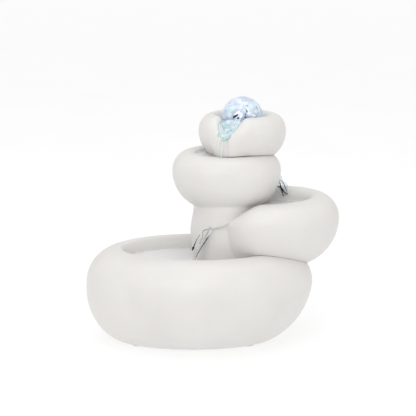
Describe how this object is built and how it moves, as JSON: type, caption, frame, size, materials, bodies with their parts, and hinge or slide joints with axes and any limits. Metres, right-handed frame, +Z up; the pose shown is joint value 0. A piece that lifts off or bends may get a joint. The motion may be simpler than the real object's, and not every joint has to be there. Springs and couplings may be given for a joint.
{
  "type": "tabletop water fountain",
  "caption": "Tabletop fountain of soft white ceramic bowls stacked in a leaning tower, with a glass ball turning in the top bowl and a pump hidden in the leg.",
  "frame": {"origin": "middle of the bounding box on the table plane, under the basin", "axes": "+Z up, +X to the right as seen from the front, towards the side where the lower bowl overhangs, +Y to the back"},
  "size_m": [0.2402, 0.14, 0.23],
  "materials": {
    "matte_ceramic": "matt white glaze on slip-cast stoneware",
    "ball_glass": "polished clear glass with a faint blue tint",
    "seat_acrylic": "clear acrylic, moulded",
    "ring_polycarbonate": "milky polycarbonate, moulded",
    "led_dome": "lit blue diode domes",
    "nozzle_plastic": "clear plastic, moulded",
    "seal_silicone": "translucent silicone",
    "hose_pvc": "soft clear hose",
    "lead_white": "white sheath",
    "lead_black": "black sheath",
    "pump_abs": "black moulded ABS",
    "dial_abs": "dark grey moulded ABS",
    "core_steel": "stacked sheet steel",
    "coil_copper": "enamelled copper wire",
    "seal_rubber": "black rubber",
    "foot_rubber": "grey rubber pad",
    "cup_silicone": "grey silicone",
    "shaft_ceramic": "ground ceramic rod",
    "impeller_plastic": "white moulded plastic",
    "magnet_ferrite": "ferrite magnet",
    "filter_foam": "open-cell foam",
    "nut_steel": "nickel-plated nut"
  },
  "bodies": {
    "base": {"basin": "matte_ceramic", "foot_1": "foot_rubber", "foot_2": "foot_rubber", "foot_3": "foot_rubber", "foot_4": "foot_rubber", "light_socket": "pump_abs", "pump_housing": "pump_abs", "stator_core": "core_steel", "coil": "coil_copper", "volute": "pump_abs", "o_ring": "seal_rubber", "pump_shaft": "shaft_ceramic", "shaft_bushing": "seal_rubber", "suction_cup_1": "cup_silicone", "suction_cup_2": "cup_silicone", "suction_cup_3": "cup_silicone", "suction_cup_4": "cup_silicone", "pump_lead": "lead_black", "pool_grommet": "seal_rubber", "power_inlet": "pump_abs", "inlet_nut": "nut_steel"},
    "tower": {"tower_foot": "matte_ceramic", "lower_bowl": "matte_ceramic", "middle_bowl": "matte_ceramic", "top_bowl": "matte_ceramic", "ball_seat": "seat_acrylic", "light_ring": "ring_polycarbonate", "led_1": "led_dome", "led_2": "led_dome", "led_3": "led_dome", "led_4": "led_dome", "led_5": "led_dome", "led_6": "led_dome", "jet_nozzle": "nozzle_plastic", "nozzle_seal": "seal_silicone", "riser_hose": "hose_pvc", "light_lead": "lead_white", "light_plug": "pump_abs"},
    "ball": {"crystal_ball": "ball_glass"},
    "rotor": {"impeller": "impeller_plastic", "rotor_magnet": "magnet_ferrite"},
    "strainer": {"strainer_cover": "pump_abs", "filter_sponge": "filter_foam"},
    "dial": {"flow_dial": "dial_abs"}
  },
  "joints": [
    {"name": "tower_lift", "type": "slide", "parent": "base", "child": "tower", "axis": [0, 0, 1], "range_m": [0, 0.12]},
    {"name": "ball_spin", "type": "hinge", "parent": "tower", "child": "ball", "pos_m": [0.0277, 0.024, 0.21], "axis": [1, 0, 0], "continuous": true},
    {"name": "rotor_spin", "type": "hinge", "parent": "base", "child": "rotor", "pos_m": [0.015, 0.004, 0.036], "axis": [1, 0, 0], "continuous": true},
    {"name": "strainer_pull", "type": "slide", "parent": "base", "child": "strainer", "axis": [-1, 0, 0], "range_m": [0, 0.014]},
    {"name": "flow_turn", "type": "hinge", "parent": "strainer", "child": "dial", "pos_m": [-0.005, 0.004, 0.0375], "axis": [1, 0, 0], "range_deg": [0, 90]}
  ]
}
